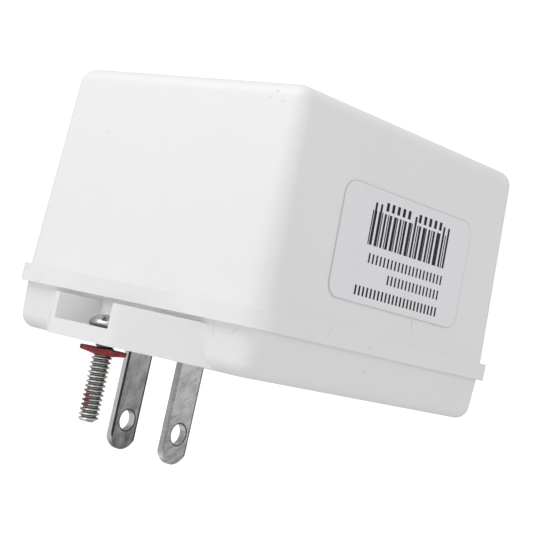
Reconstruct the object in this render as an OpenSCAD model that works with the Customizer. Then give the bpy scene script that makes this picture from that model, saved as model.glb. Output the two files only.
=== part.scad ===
// Plug-in mains transformer: two-part moulded case with a rim band, two flat
// blades, a screw tab for the outlet plate and screw terminals at the far end.
// Drawn lying on its outlet face, then turned so that the blades point along +Y
// and the tab points up. Origin: outlet face, midway between the blades.

/* [Case] */
// Width across the band
case_w = 59.5; // [58.5:0.5:64]
// Length along the band, tab end to terminal end
case_l = 73.5; // [73:0.5:80]
// Depth from the outlet face to the front of the cover
case_h = 48.7; // [48.7:0.1:54]
// Blade centre line to the tab end of the band
tab_edge = 13.1; // [12.8:0.1:14]
// Corner radius of the band, seen from the front
band_r = 5; // [4.5:0.5:6]
// Outlet face to the near edge of the band
band_z = 8.1; // [8:0.1:9]
// Height of the band
band_h = 3.2; // [2.6:0.1:4]
// How far the band stands out from the cover
cover_step = 1.15; // [0.8:0.05:1.4]
// How far the band stands out from the base
base_step = 1.3; // [1.1:0.05:1.6]
// How far a cover wall leans in by the time it reaches the front
cover_lean = 1.3; // [0.8:0.1:1.5]
// How far a base wall leans in by the time it reaches the outlet face
base_lean = 0.5; // [0.2:0.1:0.8]
// Rounding of the front edge of the cover
top_r = 3; // [2:0.25:3.5]
// Rounding of the base where it meets the outlet face
foot_r = 2.6; // [1.5:0.1:3]
// Cover wall thickness at the rim
rim_wall = 3.2; // [3:0.1:3.4]
// Thickness of the front wall of the cover
front_wall = 2.4; // [2:0.1:2.6]
// Thickness of the base floor
floor_t = 2.5; // [2:0.1:3]
// Thickness of the tongue of the base inside the cover rim
tongue_t = 1.3; // [1.1:0.1:1.5]

/* [Blades] */
// Distance between the blade centres
blade_pitch = 12.7; // [12.5:0.1:12.9]
// Blade width
blade_w = 6.1; // [6:0.05:6.6]
// Blade thickness
blade_t = 1.52; // [1.4:0.02:1.64]
// Blade length in front of the outlet face
blade_l = 17.75; // [15.9:0.05:18.2]
// Bevel along the blade edges
blade_bevel = 0.3; // [0.1:0.05:0.4]
// Hole through the blade
blade_hole_d = 3.7; // [3:0.1:4]
// Outlet face to the centre of that hole
blade_hole_z = 12.4; // [11.4:0.1:12.8]
// Width of the shoulder inside the base
shoulder_w = 9.6; // [8.5:0.1:10]
// Height of the shoulder inside the base
shoulder_h = 2.4; // [2:0.1:3]
// Width of the solder tail
tail_w = 4; // [3.4:0.1:4.4]
// Length of the solder tail above the shoulder
tail_l = 4.6; // [4:0.1:5]
// Diameter of the solder hole in the tail
tail_hole_d = 1.8; // [1.4:0.1:2]
// End of the tail to the centre of that hole
tail_hole_in = 1.8; // [1.6:0.1:2]
// Length of the thinned tip of a blade
blade_lead_in = 2.4; // [1.5:0.1:3]
// Wall of the guide round each blade shoulder
guide_t = 1.6; // [1.2:0.1:1.8]

/* [Mounting tab] */
// How far the tab stands out from the band
tab_reach = 8.6; // [8.2:0.1:9.5]
// Half width of the tab at its nose
tab_nose = 9; // [8.6:0.1:9.6]
// Half width of the tab where it meets the base
tab_root = 17.5; // [16:0.5:19]
// Radius of the hollow between the tab and the base
tab_fillet = 4.5; // [3:0.5:5]
// Height of the top of the tab above the outlet face
tab_h = 7.3; // [7:0.1:7.6]
// Tab underside set back from the outlet face
tab_back = 0.2; // [0.1:0.05:0.4]
// Width of the screw pocket
pocket_w = 12.9; // [12:0.1:13.3]
// Height of the pocket floor above the outlet face
pocket_z = 2.9; // [2.5:0.1:3.2]
// Screw centre line out from the band
screw_out = 2.05; // [1.9:0.05:2.4]
// Outside diameter of the screw thread
screw_d = 3.5; // [3.4:0.05:3.6]
// Length of the screw under its head
screw_l = 15.9; // [14:0.1:18]
// Diameter of the screw head
head_d = 6.9; // [6.4:0.1:7.2]
// Height of the screw head
head_h = 2.3; // [1.8:0.1:2.5]
// Width of the driver slot
slot_w = 1.1; // [0.9:0.1:1.2]
// Angle at which the mounting screw was left
slot_turn = 29; // [0:1:90]
// Chamfer at the end of a screw
screw_point = 0.7; // [0.5:0.1:0.9]
// Diameter of the neck under the head, down to the washer
neck_d = 3; // [2.8:0.1:3.1]
// Clearance of the screw in its hole in the tab
screw_play = 0.35; // [0.25:0.05:0.5]
// Outside diameter of the fibre washer
washer_d = 8; // [7.6:0.1:8.4]
// Thickness of the fibre washer
washer_t = 0.8; // [0.6:0.1:1]
// Space between the washer and the tab
washer_gap = 0.45; // [0.3:0.05:1]
// How far the thread has dished the middle of the washer
washer_dish = 0.45; // [0.1:0.05:0.6]

/* [Terminals] */
// Side wall of the recess in from the inside of the cover
recess_side = 3.4; // [3:0.1:4]
// Length of the recess along the case
recess_l = 10.6; // [10.2:0.1:11]
// Depth of the recess below the front of the cover
recess_d = 11; // [10.6:0.1:11]
// Wall thickness round the recess
recess_wall = 2; // [1.6:0.1:2.2]
// Side wall of the recess to the nearer screw centre
term_in = 7.5; // [7:0.1:8]
// Height of the terminal posts above the recess floor
post_h = 4.3; // [4.2:0.1:4.6]
// Side of a terminal plate
plate_w = 9; // [8.6:0.1:9.2]
// Thickness of a terminal plate
plate_t = 1; // [0.8:0.1:1]
// Gap between a terminal plate and the wall behind it
plate_gap = 0.4; // [0.2:0.1:0.5]
// Side of the square clamp washer
clamp_w = 8; // [7.4:0.1:8.2]
// Thickness of the square clamp washer
clamp_t = 0.8; // [0.6:0.1:1]
// Diameter of the terminal screw thread
term_d = 3.5; // [3:0.1:3.6]
// Diameter of the terminal screw head
term_head_d = 7; // [6.4:0.1:7.4]
// Height of the terminal screw head
term_head_h = 2; // [1.6:0.1:2.2]
// Length of the terminal screw below its plate
term_l = 5; // [4.4:0.1:5]
// Angle at which the left terminal screw was left
left_turn = 25; // [0:5:90]
// Angle at which the right terminal screw was left
right_turn = -40; // [-90:5:0]
// Width of the solder tail of a terminal plate
lug_w = 2.8; // [2.4:0.1:3]
// Reach of that tail behind the recess wall
lug_l = 3.4; // [3:0.1:4]
// Thickness of the barrier between the terminals
barrier_t = 2.5; // [2:0.1:3]

/* [Label] */
// Length of the label along the case
label_l = 40.3; // [30:0.1:42]
// Height of the label
label_h = 20.3; // [16:0.1:24]
// Thickness of the label
label_t = 0.15; // [0.1:0.05:0.2]
// Corner radius of the label
label_r = 2.8; // [2:0.1:3.5]
// Blade centre line to the near end of the label
label_y = 4.6; // [4:0.1:7]
// Band to the near edge of the label
label_z = 4.9; // [4:0.1:6]

/* [Transformer] */
// Clearance between the core and each side wall
side_gap = 1.65; // [1.4:0.05:2]
// Clearance between the core and the tab end of the case
tab_gap = 6.75; // [6.5:0.05:7.5]
// Clearance between the core and the far end of the case
end_gap = 1.05; // [0.8:0.05:1.5]
// Clearance between the core and the terminal recess
lid_gap = 0.7; // [0.6:0.05:0.9]
// Clearance between the blade tails and the core
tail_gap = 3.5; // [3.4:0.1:4]
// Clearance between the bobbin cheeks and the recess wall
cheek_gap = 1.15; // [1:0.05:1.4]
// Clearance between the taped winding and the outer legs of the core
wind_gap = 1.5; // [1.4:0.1:1.8]
// Wall of the bobbin
bobbin_t = 1.1; // [0.8:0.1:1.2]
// Thickness of the bobbin cheeks
cheek_t = 1; // [0.8:0.1:1.2]
// How far the cheeks stand above the tape
cheek_lip = 0.2; // [0.1:0.05:0.3]
// Corner radius of the windings
wind_r = 3; // [2:0.5:4]
// Thickness of the tape over each winding
tape_t = 0.4; // [0.2:0.1:0.4]
// Diameter of the insulated leads
lead_d = 1.6; // [1.2:0.1:1.8]
// Core to the centre of the leads that pass in front of it
lead_out = 3; // [2.5:0.1:3.5]
// Middle of the core to the nearer secondary lead
near_lead = 7; // [6:0.5:8]
// Middle of the core to the farther secondary lead
far_lead = 11; // [10:0.5:12]
// Diameter of the thermal cut-out
cutout_d = 4; // [3.6:0.1:4]
// Length of the thermal cut-out
cutout_l = 9; // [7:0.5:9]
// Thickness of the insulating sheet
sheet_t = 0.4; // [0.2:0.1:0.5]
// How far the insulating sheet stands out in front of the core
sheet_lip = 1.6; // [1:0.1:2]
// Side of the square posts under the core
post_w = 6; // [5:0.5:7]
// Thickness of the ribs inside the cover
rib_t = 2; // [1.6:0.1:2.4]

/* [Hidden] */
$fn = 64;
// Smallest overlap that makes a cut go right through
eps = 0.5;
// Clearance round the blades, the tongue and the bobbin
slide = 0.1;
// Clearance of a part that only lies on or round another
rest_gap = 0.3;
// Clearance of the label from the wall that it is stuck to
stick = 0.03;
// Clearance of a wire from the tail that it is soldered to
solder = 0.05;
// Faces of the blended edges of the case
blend_fn = 32;
// Share of its radius that a faceted ball reaches at its widest
ball_reach = cos(180 / blend_fn);

tab_y = -tab_edge;
end_y = case_l - tab_edge;
band_top = band_z + band_h;
mid_y = (tab_y + end_y) / 2;
case_half = case_w / 2;
rim_x = case_half - cover_step;
rim_l = case_l / 2 - cover_step;
room_x = rim_x - rim_wall;
room_y0 = tab_y + cover_step + rim_wall;
room_y1 = end_y - cover_step - rim_wall;
room_r = 2;
ceiling_z = case_h - front_wall;
base_half = case_half - base_step;
tab_front = tab_y - tab_reach;
screw_y = tab_y - screw_out;
nose_r = tab_nose - pocket_w / 2;
nose_x = tab_nose - nose_r;
wall_y = tab_y + base_step + base_lean / 2;
pocket_y = max(tab_y + base_step, screw_y + head_d / 2 + slide);
thread_z = -washer_gap - washer_t - washer_dish - slide;
flank = atan2(wall_y - tab_front - nose_r, tab_root - tab_nose);
flank_foot = wall_y + foot_r + slide;
flank_top = [nose_x + nose_r * sin(flank), tab_front + nose_r - nose_r * cos(flank)];
flank_run = (flank_foot - flank_top[1]) / sin(flank);
root_x = flank_top[0] + (wall_y - flank_top[1]) / tan(flank);
blade_x = blade_pitch / 2;
shoulder_top = floor_t + shoulder_h;
tail_top = shoulder_top + tail_l;

recess_w = 2 * (room_x - recess_side);
recess_y = end_y - cover_step - cover_lean - recess_l;
recess_z = case_h - recess_d;
recess_floor = recess_z - recess_wall;
post_z = recess_z + post_h;
plate_z = post_z + plate_t;
term_x = recess_w / 2 - term_in;
term_y = recess_y + plate_gap + plate_w / 2;
lug_x = term_x + plate_w / 2 - lug_w / 2;
lug_y = recess_y - recess_wall - lug_l;

// The leg is as wide as the case, its length and the recess leave room for
core_y0 = room_y0 + tab_gap;
leg_w = min(
    2 * (room_x - side_gap) / 2.5,
    (room_y1 - end_gap - core_y0) / 3,
    (recess_y - recess_wall - cheek_gap - core_y0 + wind_gap - cheek_lip) / 2.5);
yoke_w = leg_w / 2;
window_l = 1.5 * leg_w;
core_l = 3 * leg_w;
core_w = window_l + 2 * yoke_w;
core_bottom = tail_top + tail_gap;
core_top = recess_floor - lid_gap;
stack_t = core_top - core_bottom;
core_z = core_bottom + stack_t / 2;
core_y = core_y0 + core_l / 2;
core_y1 = core_y0 + core_l;
wire_build = yoke_w - slide - bobbin_t - tape_t - wind_gap;
tube_y = leg_w / 2 + slide + bobbin_t;
tube_z = stack_t / 2 + slide + bobbin_t;
wind_y = tube_y + wire_build;
wind_z = tube_z + wire_build;
tape_y = wind_y + tape_t;
tape_z = wind_z + tape_t;
half_room = window_l / 2 - slide;
tape_top = core_z + tape_z;
sheet_z = core_bottom - sheet_t;
post_x = core_w / 2 - post_w / 2 - 1;
lead_z = plate_z + lead_d / 2 + rest_gap;
front_lead_y = core_y0 - lead_out;
hole_z = tail_top - tail_hole_in;
cutout_y = core_y - tape_y - cutout_d / 2 - slide;
cutout_z = core_top + cutout_d / 2 + rest_gap;
cutout_x = -half_room / 2;

// Turns what is drawn lying on its outlet face into its place on the wall
module hang() {
    rotate([-90, 0, 180])
        children();
}

// Rectangle with round corners, given by its half sizes about its own middle
module soft_rect(hx, hy, r) {
    union() {
        square([2 * hx, 2 * (hy - r)], center = true);
        square([2 * (hx - r), 2 * hy], center = true);
        for (sx = [-1, 1])
            for (sy = [-1, 1])
                translate([sx * (hx - r), sy * (hy - r)])
                    circle(r = r);
    }
}

// Block lying along x and y with round upright edges
module soft_block(hx, y0, y1, z0, z1, r) {
    translate([0, (y0 + y1) / 2, z0])
        linear_extrude(height = z1 - z0)
            soft_rect(hx, (y1 - y0) / 2, r);
}

// Outside of the cover: walls lean in from the band to the rounded front edge
module cover_outside() {
    low_r = band_r - cover_step;
    top_x = rim_x - cover_lean - top_r;
    top_y = rim_l - cover_lean - top_r;
    hull() {
        for (sx = [-1, 1])
            for (sy = [-1, 1]) {
                translate([sx * (rim_x - low_r), mid_y + sy * (rim_l - low_r), band_top - eps])
                    cylinder(r = low_r, h = eps, $fn = blend_fn);
                translate([sx * top_x, mid_y + sy * top_y, case_h - top_r])
                    scale(1 / ball_reach)
                        sphere(r = top_r, $fn = blend_fn);
            }
    }
}

// Outside of the base: walls lean in to the rounded edge at the outlet face
module base_outside() {
    low_r = band_r - base_step;
    foot_x = base_half - base_lean - foot_r;
    foot_y = case_l / 2 - base_step - base_lean - foot_r;
    hull() {
        for (sx = [-1, 1])
            for (sy = [-1, 1]) {
                translate([sx * (base_half - low_r),
                    mid_y + sy * (case_l / 2 - base_step - low_r), band_z - eps])
                    cylinder(r = low_r, h = eps, $fn = blend_fn);
                translate([sx * foot_x, mid_y + sy * foot_y, foot_r])
                    scale(1 / ball_reach)
                        sphere(r = foot_r, $fn = blend_fn);
            }
    }
}

// Blind hole for a terminal screw
module terminal_hole(side) {
    translate([side * term_x, term_y, post_z - term_l - rest_gap])
        cylinder(d = term_d + slide, h = term_l + rest_gap + eps);
}

// Terminal post in the recess, with that hole
module terminal_post(side) {
    difference() {
        translate([side * term_x - plate_w / 2, recess_y - eps, recess_floor])
            cube([plate_w, plate_w + 2 * plate_gap + eps, post_z - recess_floor]);
        terminal_hole(side);
    }
}

// Upright rib between a side wall of the cover and the core
module side_rib(side, y) {
    inner = core_w / 2 + slide;
    mirror([side < 0 ? 1 : 0, 0, 0])
        translate([inner, y, core_bottom + rib_t])
            cube([room_x - inner + eps, rib_t, ceiling_z - core_bottom - rib_t + eps]);
}

module cover() {
    color("whitesmoke") hang()
        union() {
            difference() {
                union() {
                    difference() {
                        union() {
                            cover_outside();
                            soft_block(case_half, tab_y, end_y, band_z, band_top, band_r);
                        }
                        soft_block(room_x, room_y0, room_y1, band_z - eps, ceiling_z, room_r);
                        soft_block(room_x + tongue_t + slide, room_y0 - tongue_t - slide,
                            room_y1 + tongue_t + slide, band_z - eps, band_top + slide,
                            room_r + tongue_t);
                    }
                    // Walls of the terminal recess, inside the case
                    translate([-recess_w / 2 - recess_wall, recess_y - recess_wall, recess_floor])
                        cube([recess_w + 2 * recess_wall, room_y1 + recess_wall - recess_y + eps,
                            ceiling_z + eps - recess_floor]);
                    // Ribs that hold the core down and keep it off the side walls
                    for (side = [-1, 1]) {
                        for (y = [core_y0 + rib_t, core_y1 - post_w - rib_t])
                            translate([side * post_x - rib_t, y, core_top])
                                cube([2 * rib_t, post_w, ceiling_z - core_top + eps]);
                        side_rib(side, core_y0 + yoke_w);
                        side_rib(side, core_y1 - yoke_w - rib_t);
                    }
                }
                // Terminal recess, open to the front and to the end
                translate([-recess_w / 2, recess_y, recess_z])
                    cube([recess_w, recess_l + cover_lean + cover_step + eps, recess_d + eps]);
                // Room for the tails of the plates behind it, and the screw holes
                for (side = [-1, 1]) {
                    translate([side * lug_x - lug_w / 2 - slide, lug_y - rest_gap,
                        post_z - slide])
                        cube([lug_w + 2 * slide, recess_y + eps - lug_y + rest_gap,
                            plate_t + 2 * slide]);
                    terminal_hole(side);
                }
            }
            terminal_post(-1);
            terminal_post(1);
            // Barrier between the terminals
            translate([-barrier_t / 2, recess_y - eps, recess_z - eps])
                cube([barrier_t, recess_l, recess_d - recess_wall]);
        }
}

// Outline of the mounting tab seen from the front: nose corners, slanted flanks
module tab_plan() {
    for (side = [0, 1])
        mirror([side, 0]) {
            polygon([[0, tab_front], [nose_x, tab_front], flank_top,
                flank_top + flank_run * [cos(flank), sin(flank)], [0, flank_foot]]);
            translate([nose_x, tab_front + nose_r])
                circle(r = nose_r);
        }
}

// Hollow fillets where the flanks of the tab run out into the base wall; each
// fades away downwards, to nothing where the foot starts to round
module tab_hollows() {
    run = tab_fillet * tan(flank / 2);
    depth = tab_fillet / cos(flank / 2) - tab_fillet;
    rise = tab_h - foot_r;
    for (side = [0, 1])
        mirror([side, 0, 0])
            difference() {
                linear_extrude(height = rise)
                    difference() {
                        polygon([[root_x - 2, wall_y + 1], [root_x + run, wall_y + 1],
                            [root_x + run, wall_y],
                            [root_x - run * cos(flank), wall_y - run * sin(flank)]]);
                        translate([root_x + run, wall_y - tab_fillet])
                            circle(r = tab_fillet);
                    }
                translate([root_x, wall_y, 0])
                    rotate([0, 0, flank / 2])
                        rotate([180 - atan2(rise / 2, depth), 0, 0])
                            translate([-tab_fillet, -tab_fillet, 0])
                                cube(2 * tab_fillet);
            }
}

// Guide on the base floor that keeps a blade shoulder upright
module blade_guide(side) {
    translate([side * blade_x - blade_t / 2 - guide_t, -shoulder_w / 2 - guide_t, floor_t - eps])
        cube([blade_t + 2 * guide_t, shoulder_w + 2 * guide_t, shoulder_h + eps]);
}

module base() {
    color("whitesmoke") hang()
        difference() {
            union() {
                difference() {
                    union() {
                        base_outside();
                        soft_block(room_x + tongue_t, room_y0 - tongue_t, room_y1 + tongue_t,
                            band_z - tongue_t, band_top, room_r + tongue_t);
                        translate([0, 0, tab_back])
                            linear_extrude(height = tab_h - tab_back)
                                tab_plan();
                        translate([0, 0, foot_r])
                            tab_hollows();
                    }
                    soft_block(room_x, room_y0, room_y1, floor_t, band_top + eps, room_r);
                }
                blade_guide(-1);
                blade_guide(1);
                // Posts under the corners of the core, the near ones under the sheet
                for (side = [-1, 1]) {
                    translate([side * post_x - post_w / 2, core_y0, floor_t - eps])
                        cube([post_w, post_w, sheet_z - floor_t + eps]);
                    translate([side * post_x - post_w / 2, core_y1 - post_w - 1, floor_t - eps])
                        cube([post_w, post_w, core_bottom - floor_t + eps]);
                }
            }
            // Blade slots, with the shoulder seats above them
            for (side = [-1, 1])
                translate([side * blade_x - blade_t / 2 - slide, 0, 0]) {
                    translate([0, -blade_w / 2 - slide, -eps])
                        cube([blade_t + 2 * slide, blade_w + 2 * slide, shoulder_top + 2 * eps]);
                    translate([0, -shoulder_w / 2 - slide, floor_t])
                        cube([blade_t + 2 * slide, shoulder_w + 2 * slide, shoulder_top]);
                }
            // Screw pocket, open to the front and the top of the tab
            translate([-pocket_w / 2, tab_front - eps, pocket_z])
                cube([pocket_w, pocket_y - tab_front + eps, tab_h - pocket_z + eps]);
            translate([0, screw_y, -eps])
                cylinder(r = screw_d / 2 + screw_play, h = pocket_z + 2 * eps);
        }
}

// Side view of one blade: round tip, straight body, shoulder and solder tail
module blade_side() {
    difference() {
        union() {
            translate([-blade_w / 2, -blade_l + blade_w / 2])
                square([blade_w, blade_l - blade_w / 2 + floor_t + eps]);
            translate([0, -blade_l + blade_w / 2])
                circle(d = blade_w);
            translate([-shoulder_w / 2, floor_t])
                square([shoulder_w, shoulder_h]);
            translate([-tail_w / 2, shoulder_top - eps])
                square([tail_w, tail_l + eps]);
        }
        translate([0, -blade_hole_z])
            circle(d = blade_hole_d);
        translate([0, hole_z])
            circle(d = tail_hole_d);
    }
}

// One blade: the side view is coined to bevelled edges and a thin tip, but for
// the shoulder and the tail, which keep the full thickness of the strip
module blade(side) {
    t = blade_t / 2;
    w = blade_w / 2;
    b = blade_bevel;
    intersection() {
        translate([side * blade_x - t, 0, 0])
            rotate([90, 0, 90])
                linear_extrude(height = blade_t)
                    blade_side();
        union() {
            translate([side * blade_x, 0, -blade_l - eps])
                linear_extrude(height = blade_l + floor_t + 2 * eps)
                    polygon([[-t, -w + b], [-t + b, -w], [t - b, -w], [t, -w + b],
                        [t, w - b], [t - b, w], [-t + b, w], [-t, w - b]]);
            translate([side * blade_x - t, -shoulder_w / 2, floor_t])
                cube([blade_t, shoulder_w, tail_top]);
        }
        translate([side * blade_x, shoulder_w, 0])
            rotate([90, 0, 0])
                linear_extrude(height = 2 * shoulder_w)
                    polygon([[-t + b, -blade_l], [t - b, -blade_l], [t, -blade_l + blade_lead_in],
                        [t, tail_top + eps], [-t, tail_top + eps], [-t, -blade_l + blade_lead_in]]);
    }
}

module left_blade() {
    color("lightgray") hang() blade(1);
}

module right_blade() {
    color("lightgray") hang() blade(-1);
}

// Pan head screw with a driver slot and a chamfered end
module pan_screw(shank_r, length, head_r, head_t) {
    crown = head_t * 0.45;
    difference() {
        rotate_extrude()
            union() {
                polygon([[0, 0], [0, -length], [shank_r - screw_point, -length],
                    [shank_r, -length + screw_point], [shank_r, 0]]);
                square([head_r, head_t - crown]);
                square([head_r - crown, head_t]);
                translate([head_r - crown, head_t - crown])
                    circle(r = crown);
            }
        translate([-slot_w / 2, -head_r - eps, head_t / 2])
            cube([slot_w, 2 * head_r + 2 * eps, head_t]);
    }
}

// Screw held by its washer, which sits on a neck that is thinner than the thread
module mounting_screw() {
    color("silver") hang()
        translate([0, screw_y, 0])
            difference() {
                translate([0, 0, pocket_z])
                    rotate([0, 0, slot_turn])
                        pan_screw(screw_d / 2, screw_l, head_d / 2, head_h);
                translate([0, 0, thread_z])
                    difference() {
                        cylinder(d = screw_d + eps, h = pocket_z - thread_z);
                        translate([0, 0, -eps])
                            cylinder(d = neck_d, h = pocket_z - thread_z + 2 * eps);
                    }
            }
}

// Fibre washer, dished by the thread that it was pushed over
module fibre_washer() {
    bore = neck_d / 2 + solder;
    bend = screw_d / 2 + washer_t;
    color("firebrick") hang()
        translate([0, screw_y, -washer_gap])
            rotate_extrude()
                polygon([[bore, -washer_t - washer_dish], [bend, -washer_t - washer_dish / 2],
                    [washer_d / 2, -washer_t], [washer_d / 2, 0],
                    [bend, -washer_dish / 2], [bore, -washer_dish]]);
}

// Paper label on the side wall of the cover, leaning with the wall
module label() {
    wall_h = case_h - top_r - band_top;
    lean = atan2(cover_lean, wall_h);
    mid_up = label_z + label_h / 2;
    color("white") hang()
        translate([rim_x - cover_lean * mid_up / wall_h + stick, label_y + label_l / 2,
            band_top + mid_up])
            rotate([0, -lean, 0])
                rotate([90, 0, 90])
                    linear_extrude(height = label_t)
                        soft_rect(label_l / 2, label_h / 2, label_r);
}

module e_laminations() {
    color("dimgray") hang()
        translate([-core_w / 2, core_y0, core_bottom])
            linear_extrude(height = stack_t)
                union() {
                    square([yoke_w, core_l]);
                    square([core_w - yoke_w, yoke_w]);
                    translate([0, core_l - yoke_w])
                        square([core_w - yoke_w, yoke_w]);
                    translate([0, core_l / 2 - leg_w / 2])
                        square([core_w - yoke_w, leg_w]);
                }
}

module i_laminations() {
    color("dimgray") hang()
        translate([core_w / 2 - yoke_w, core_y0, core_bottom])
            cube([yoke_w, core_l, stack_t]);
}

// Square ring round the centre leg, from x0 to x1
module leg_ring(x0, x1, out_y, out_z, in_y, in_z, r) {
    translate([x0, core_y, core_z])
        rotate([90, 0, 90])
            linear_extrude(height = x1 - x0)
                difference() {
                    soft_rect(out_y, out_z, r);
                    square([2 * in_y, 2 * in_z], center = true);
                }
}

module bobbin() {
    cheek_y = tape_y + cheek_lip;
    cheek_z = tape_z + cheek_lip;
    leg_y = leg_w / 2 + slide;
    leg_z = stack_t / 2 + slide;
    color("ivory") hang()
        union() {
            leg_ring(-half_room, half_room, tube_y, tube_z, leg_y, leg_z, bobbin_t / 2);
            for (x = [-half_room, -cheek_t / 2, half_room - cheek_t])
                leg_ring(x, x + cheek_t, cheek_y, cheek_z, leg_y, leg_z, cheek_t);
        }
}

module primary_winding() {
    color("chocolate") hang()
        leg_ring(-half_room + cheek_t, -cheek_t / 2, wind_y, wind_z, tube_y, tube_z, wind_r);
}

module secondary_winding() {
    color("chocolate") hang()
        leg_ring(cheek_t / 2, half_room - cheek_t, wind_y, wind_z, tube_y, tube_z, wind_r);
}

// One wrap of tape over a winding
module tape_ring(x0, x1) {
    translate([x0, core_y, core_z])
        rotate([90, 0, 90])
            linear_extrude(height = x1 - x0)
                difference() {
                    soft_rect(tape_y, tape_z, wind_r + tape_t);
                    soft_rect(wind_y, wind_z, wind_r);
                }
}

module primary_tape() {
    color("gold") hang()
        tape_ring(-half_room + cheek_t, -cheek_t / 2);
}

module secondary_tape() {
    color("gold") hang()
        tape_ring(cheek_t / 2, half_room - cheek_t);
}

module thermal_cutout() {
    color("silver") hang()
        translate([cutout_x - cutout_l / 2, cutout_y, cutout_z])
            rotate([0, 90, 0])
                cylinder(d = cutout_d, h = cutout_l);
}

// Round wire from one point to the next, with a ball at each bend
module wire(path, d) {
    for (i = [0 : len(path) - 2]) {
        step = path[i + 1] - path[i];
        reach = norm(step);
        translate(path[i])
            rotate([0, acos(step[2] / reach), atan2(step[1], step[0])])
                cylinder(d = d, h = reach);
        if (i > 0)
            translate(path[i])
                sphere(d = d);
    }
}

// From the cut-out, over the core and down to the blade tail
module left_primary_lead() {
    x = blade_x + blade_t / 2 + lead_d / 2 + solder;
    color("black") hang()
        wire([[cutout_x + cutout_l / 2 + solder, cutout_y, cutout_z], [x, cutout_y, cutout_z],
            [x, front_lead_y, cutout_z], [x, front_lead_y, hole_z],
            [x, tail_w / 4, hole_z]], lead_d);
}

// From the winding, over the core and down to the other blade tail
module right_primary_lead() {
    x = -blade_x - blade_t / 2 - lead_d / 2 - solder;
    color("black") hang()
        wire([[x, core_y - near_lead, tape_top + solder], [x, core_y - near_lead, lead_z],
            [x, front_lead_y, lead_z], [x, front_lead_y, hole_z],
            [x, tail_w / 4, hole_z]], lead_d);
}

// From a winding to the tail of a terminal plate
module secondary_lead(side, start_x, y) {
    wire([[start_x, y, tape_top + solder], [start_x, y, lead_z], [side * lug_x, y, lead_z],
        [side * lug_x, recess_y - recess_wall - rest_gap, lead_z]], lead_d);
}

module left_secondary_lead() {
    color("orange") hang()
        secondary_lead(1, half_room * 2 / 3, core_y + near_lead);
}

module right_secondary_lead() {
    color("orange") hang()
        secondary_lead(-1, half_room / 4, core_y + far_lead);
}

// Plate under a terminal screw, with a solder tail through the recess wall
module terminal_plate(side) {
    difference() {
        union() {
            translate([side * term_x - plate_w / 2, term_y - plate_w / 2, post_z])
                cube([plate_w, plate_w, plate_t]);
            translate([side * lug_x - lug_w / 2, lug_y, post_z])
                cube([lug_w, term_y - lug_y, plate_t]);
        }
        translate([side * term_x, term_y, post_z - eps])
            cylinder(d = term_d + slide, h = plate_t + 2 * eps);
    }
}

module left_terminal_plate() {
    color("lightgray") hang() terminal_plate(1);
}

module right_terminal_plate() {
    color("lightgray") hang() terminal_plate(-1);
}

// Square washer that clamps the wire on its plate
module terminal_washer(side) {
    translate([side * term_x, term_y, plate_z])
        linear_extrude(height = clamp_t)
            difference() {
                square([clamp_w, clamp_w], center = true);
                circle(d = term_d + slide);
            }
}

module left_terminal_washer() {
    color("silver") hang() terminal_washer(1);
}

module right_terminal_washer() {
    color("silver") hang() terminal_washer(-1);
}

// Terminal screw, turned as it was left by the driver
module terminal_screw(side, turn) {
    translate([side * term_x, term_y, plate_z + clamp_t])
        rotate([0, 0, turn])
            pan_screw(term_d / 2, term_l + plate_t + clamp_t, term_head_d / 2, term_head_h);
}

module left_terminal_screw() {
    color("silver") hang() terminal_screw(1, left_turn);
}

module right_terminal_screw() {
    color("silver") hang() terminal_screw(-1, right_turn);
}

// Fish paper between the blade tails and the core
module insulating_sheet() {
    color("tan") hang()
        translate([-core_w / 2, core_y0 - sheet_lip, sheet_z])
            cube([core_w, yoke_w + sheet_lip, sheet_t]);
}

cover();
base();
left_blade();
right_blade();
mounting_screw();
fibre_washer();
label();
e_laminations();
i_laminations();
bobbin();
primary_winding();
secondary_winding();
primary_tape();
secondary_tape();
thermal_cutout();
left_primary_lead();
right_primary_lead();
left_secondary_lead();
right_secondary_lead();
left_terminal_plate();
right_terminal_plate();
left_terminal_washer();
right_terminal_washer();
left_terminal_screw();
right_terminal_screw();
insulating_sheet();
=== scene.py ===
import math

import bpy
from mathutils import Matrix, Vector


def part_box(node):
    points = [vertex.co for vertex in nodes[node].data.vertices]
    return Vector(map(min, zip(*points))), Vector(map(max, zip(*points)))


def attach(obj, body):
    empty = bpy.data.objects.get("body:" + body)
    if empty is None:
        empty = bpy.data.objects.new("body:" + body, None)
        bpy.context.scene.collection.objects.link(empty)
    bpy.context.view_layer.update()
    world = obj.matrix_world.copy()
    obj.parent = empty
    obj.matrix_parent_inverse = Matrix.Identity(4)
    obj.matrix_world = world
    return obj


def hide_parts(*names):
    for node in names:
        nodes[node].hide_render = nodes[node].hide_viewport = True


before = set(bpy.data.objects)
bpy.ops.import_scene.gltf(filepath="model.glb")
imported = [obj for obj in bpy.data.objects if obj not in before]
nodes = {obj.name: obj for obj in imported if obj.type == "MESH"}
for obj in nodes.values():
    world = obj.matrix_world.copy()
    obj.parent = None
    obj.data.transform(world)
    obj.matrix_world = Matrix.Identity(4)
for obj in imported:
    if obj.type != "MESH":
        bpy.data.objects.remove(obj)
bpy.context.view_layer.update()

# Base: the shallow moulded shell on the outlet side, with the screw tab.
# White ABS with a fine moulded grain; its tongue fits into the cover's rim
# and is glued there, so a thin line under the band is all that shows.
base = nodes["base"]
bpy.ops.object.select_all(action="DESELECT")
base.select_set(True)
bpy.context.view_layer.objects.active = base
bpy.ops.mesh.customdata_custom_splitnormals_clear()
bpy.ops.object.shade_smooth()
weld = base.modifiers.new("weld", "WELD")
weld.merge_threshold = 0.000002
soft = base.modifiers.new("soft_edges", "BEVEL")
soft.width = 0.0003
soft.segments = 3
soft.limit_method = "ANGLE"
soft.angle_limit = math.radians(35)
soft.harden_normals = True

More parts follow.
